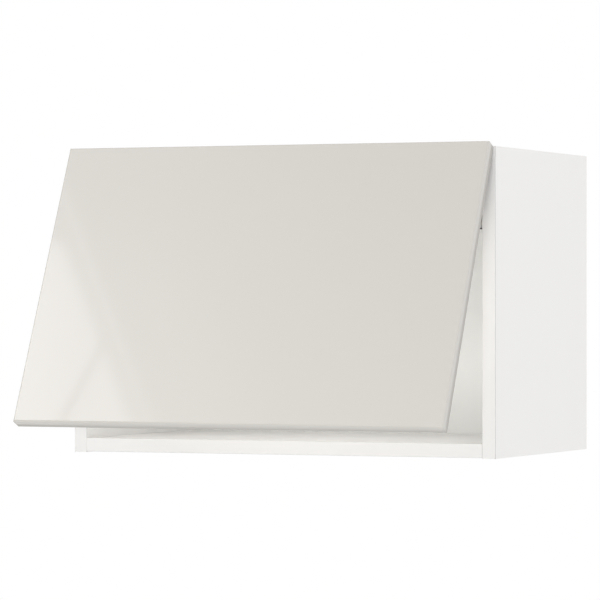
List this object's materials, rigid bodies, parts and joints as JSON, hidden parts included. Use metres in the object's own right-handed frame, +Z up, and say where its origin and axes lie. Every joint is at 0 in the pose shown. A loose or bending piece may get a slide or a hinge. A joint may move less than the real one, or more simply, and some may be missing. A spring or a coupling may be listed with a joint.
{
  "type": "wall cabinet",
  "caption": "Low wide wall cabinet: white box carcass, handleless high-gloss greige flap door on lift mechanisms, hung on a wall rail by hooks.",
  "frame": {"origin": "on the wall plane, midway between the two hooks, at the level where they bear on the wall rail", "axes": "+X to the cabinet's right as seen from the room, -Y out of the wall towards the room, +Z up"},
  "size_m": [0.6, 0.5424, 0.4057],
  "materials": {
    "white_foil": "white melamine foil, fine matt texture",
    "white_board": "white painted hardboard",
    "gloss_greige": "high-gloss light greige foil",
    "beech": "raw turned beech",
    "zinc_steel": "zinc-plated pressed steel",
    "nickel_steel": "nickel-plated pressed steel",
    "cast_zinc": "die-cast zinc, satin",
    "polished_rod": "hard chrome",
    "black_enamel": "black enamel",
    "dark_plastic": "moulded, fine texture",
    "white_plastic": "moulded, satin",
    "grey_acetal": "turned, smooth",
    "clear_bumper": "soft, translucent grey"
  },
  "bodies": {
    "cabinet": {"top_panel": "white_foil", "bottom_panel": "white_foil", "back_panel": "white_board", "wood_dowels": "beech", "cam_bolts": "zinc_steel", "cam_locks": "cast_zinc", "lift_screws": "zinc_steel", "hanger_screws": "zinc_steel", "left_side_panel": "white_foil", "left_lift_base": "zinc_steel", "left_lift_frame": "zinc_steel", "left_lift_spacers": "zinc_steel", "left_lift_cover": "dark_plastic", "left_frame_pins": "nickel_steel", "left_gas_cylinder": "black_enamel", "left_hanger_body": "zinc_steel", "left_hanger_cover": "white_plastic", "right_side_panel": "white_foil", "right_lift_base": "zinc_steel", "right_lift_frame": "zinc_steel", "right_lift_spacers": "zinc_steel", "right_lift_cover": "dark_plastic", "right_frame_pins": "nickel_steel", "right_gas_cylinder": "black_enamel", "right_hanger_body": "zinc_steel", "right_hanger_cover": "white_plastic"},
    "left_main_arm": {"left_main_arm": "nickel_steel", "left_arm_pins": "nickel_steel"},
    "left_guide_arm": {"left_guide_arm": "nickel_steel", "left_guide_pin": "nickel_steel"},
    "left_cross_link": {"left_cross_link": "cast_zinc"},
    "left_tie_link": {"left_tie_link": "cast_zinc"},
    "left_gas_rod": {"left_gas_rod": "polished_rod", "left_roller_fork": "cast_zinc"},
    "left_roller": {"left_roller": "grey_acetal"},
    "left_hook": {"left_hanger_hook": "zinc_steel"},
    "left_height_screw": {"left_hanger_height_screw": "zinc_steel"},
    "right_main_arm": {"right_main_arm": "nickel_steel", "right_arm_pins": "nickel_steel"},
    "right_guide_arm": {"right_guide_arm": "nickel_steel", "right_guide_pin": "nickel_steel"},
    "right_cross_link": {"right_cross_link": "cast_zinc"},
    "right_tie_link": {"right_tie_link": "cast_zinc"},
    "right_gas_rod": {"right_gas_rod": "polished_rod", "right_roller_fork": "cast_zinc"},
    "right_roller": {"right_roller": "grey_acetal"},
    "right_hook": {"right_hanger_hook": "zinc_steel"},
    "right_height_screw": {"right_hanger_height_screw": "zinc_steel"},
    "door": {"door": "gloss_greige", "door_bumpers": "clear_bumper", "bracket_screws": "zinc_steel", "left_door_bracket": "nickel_steel", "left_door_pins": "nickel_steel", "right_door_bracket": "nickel_steel", "right_door_pins": "nickel_steel"}
  },
  "joints": [
    {"name": "door_lift", "type": "hinge", "parent": "left_cross_link", "child": "door", "pos_m": [-0.2728, -0.37073, 0.00496], "axis": [-1, 0, 0], "range_deg": [-24.6, 75.4]},
    {"name": "left_main_arm_pivot", "type": "hinge", "parent": "cabinet", "child": "left_main_arm", "pos_m": [-0.2728, -0.32575, 0.01568], "axis": [-1, 0, 0], "range_deg": [-24.6, 75.4]},
    {"name": "left_guide_arm_pivot", "type": "hinge", "parent": "cabinet", "child": "left_guide_arm", "pos_m": [-0.2728, -0.29896, -0.00525], "axis": [-1, 0, 0], "range_deg": [-24.6, 75.4]},
    {"name": "left_cross_link_pivot", "type": "hinge", "parent": "left_main_arm", "child": "left_cross_link", "pos_m": [-0.2728, -0.33448, -0.02336], "axis": [-1, 0, 0], "range_deg": [-75.4, 24.6]},
    {"name": "left_tie_link_pivot", "type": "hinge", "parent": "left_main_arm", "child": "left_tie_link", "pos_m": [-0.2728, -0.34102, -0.05263], "axis": [-1, 0, 0], "range_deg": [-75.4, 24.6]},
    {"name": "left_gas_rod_slide", "type": "slide", "parent": "cabinet", "child": "left_gas_rod", "axis": [0, -1, 0], "range_m": [-0.00492, 0.01508]},
    {"name": "left_roller_spin", "type": "hinge", "parent": "left_gas_rod", "child": "left_roller", "pos_m": [-0.2728, -0.26788, -0.00525], "axis": [-1, 0, 0], "range_deg": [-317.68, 104.32]},
    {"name": "left_height_screw_turn", "type": "hinge", "parent": "cabinet", "child": "left_height_screw", "pos_m": [-0.272, -0.037, 0], "axis": [0, 0, 1], "range_deg": [-1441, 1441]},
    {"name": "left_hook_height", "type": "slide", "parent": "cabinet", "child": "left_hook", "axis": [0, 0, 1], "range_m": [-0.004, 0.004]},
    {"name": "right_main_arm_pivot", "type": "hinge", "parent": "cabinet", "child": "right_main_arm", "pos_m": [0.2728, -0.32575, 0.01568], "axis": [-1, 0, 0], "range_deg": [-24.6, 75.4]},
    {"name": "right_guide_arm_pivot", "type": "hinge", "parent": "cabinet", "child": "right_guide_arm", "pos_m": [0.2728, -0.29896, -0.00525], "axis": [-1, 0, 0], "range_deg": [-24.6, 75.4]},
    {"name": "right_cross_link_pivot", "type": "hinge", "parent": "right_main_arm", "child": "right_cross_link", "pos_m": [0.2728, -0.33448, -0.02336], "axis": [-1, 0, 0], "range_deg": [-75.4, 24.6]},
    {"name": "right_tie_link_pivot", "type": "hinge", "parent": "right_main_arm", "child": "right_tie_link", "pos_m": [0.2728, -0.34102, -0.05263], "axis": [-1, 0, 0], "range_deg": [-75.4, 24.6]},
    {"name": "right_gas_rod_slide", "type": "slide", "parent": "cabinet", "child": "right_gas_rod", "axis": [0, -1, 0], "range_m": [-0.00492, 0.01508]},
    {"name": "right_roller_spin", "type": "hinge", "parent": "right_gas_rod", "child": "right_roller", "pos_m": [0.2728, -0.26788, -0.00525], "axis": [-1, 0, 0], "range_deg": [-317.68, 104.32]},
    {"name": "right_height_screw_turn", "type": "hinge", "parent": "cabinet", "child": "right_height_screw", "pos_m": [0.272, -0.037, 0], "axis": [0, 0, 1], "range_deg": [-1441, 1441]},
    {"name": "right_hook_height", "type": "slide", "parent": "cabinet", "child": "right_hook", "axis": [0, 0, 1], "range_m": [-0.004, 0.004]}
  ],
  "couplings": [
    {"joint": "left_main_arm_pivot", "follows": "door_lift", "ratio": 1},
    {"joint": "left_guide_arm_pivot", "follows": "door_lift", "ratio": 1},
    {"joint": "left_cross_link_pivot", "follows": "door_lift", "ratio": -1},
    {"joint": "left_tie_link_pivot", "follows": "door_lift", "ratio": -1},
    {"joint": "left_gas_rod_slide", "follows": "door_lift", "m_per_rad": 0.011459},
    {"joint": "left_roller_spin", "follows": "door_lift", "ratio": -4.2},
    {"joint": "left_height_screw_turn", "follows": "left_hook_height", "rad_per_m": -6283.2},
    {"joint": "right_main_arm_pivot", "follows": "door_lift", "ratio": 1},
    {"joint": "right_guide_arm_pivot", "follows": "door_lift", "ratio": 1},
    {"joint": "right_cross_link_pivot", "follows": "door_lift", "ratio": -1},
    {"joint": "right_tie_link_pivot", "follows": "door_lift", "ratio": -1},
    {"joint": "right_gas_rod_slide", "follows": "door_lift", "m_per_rad": 0.011459},
    {"joint": "right_roller_spin", "follows": "door_lift", "ratio": -4.2},
    {"joint": "right_height_screw_turn", "follows": "right_hook_height", "rad_per_m": -6283.2}
  ]
}
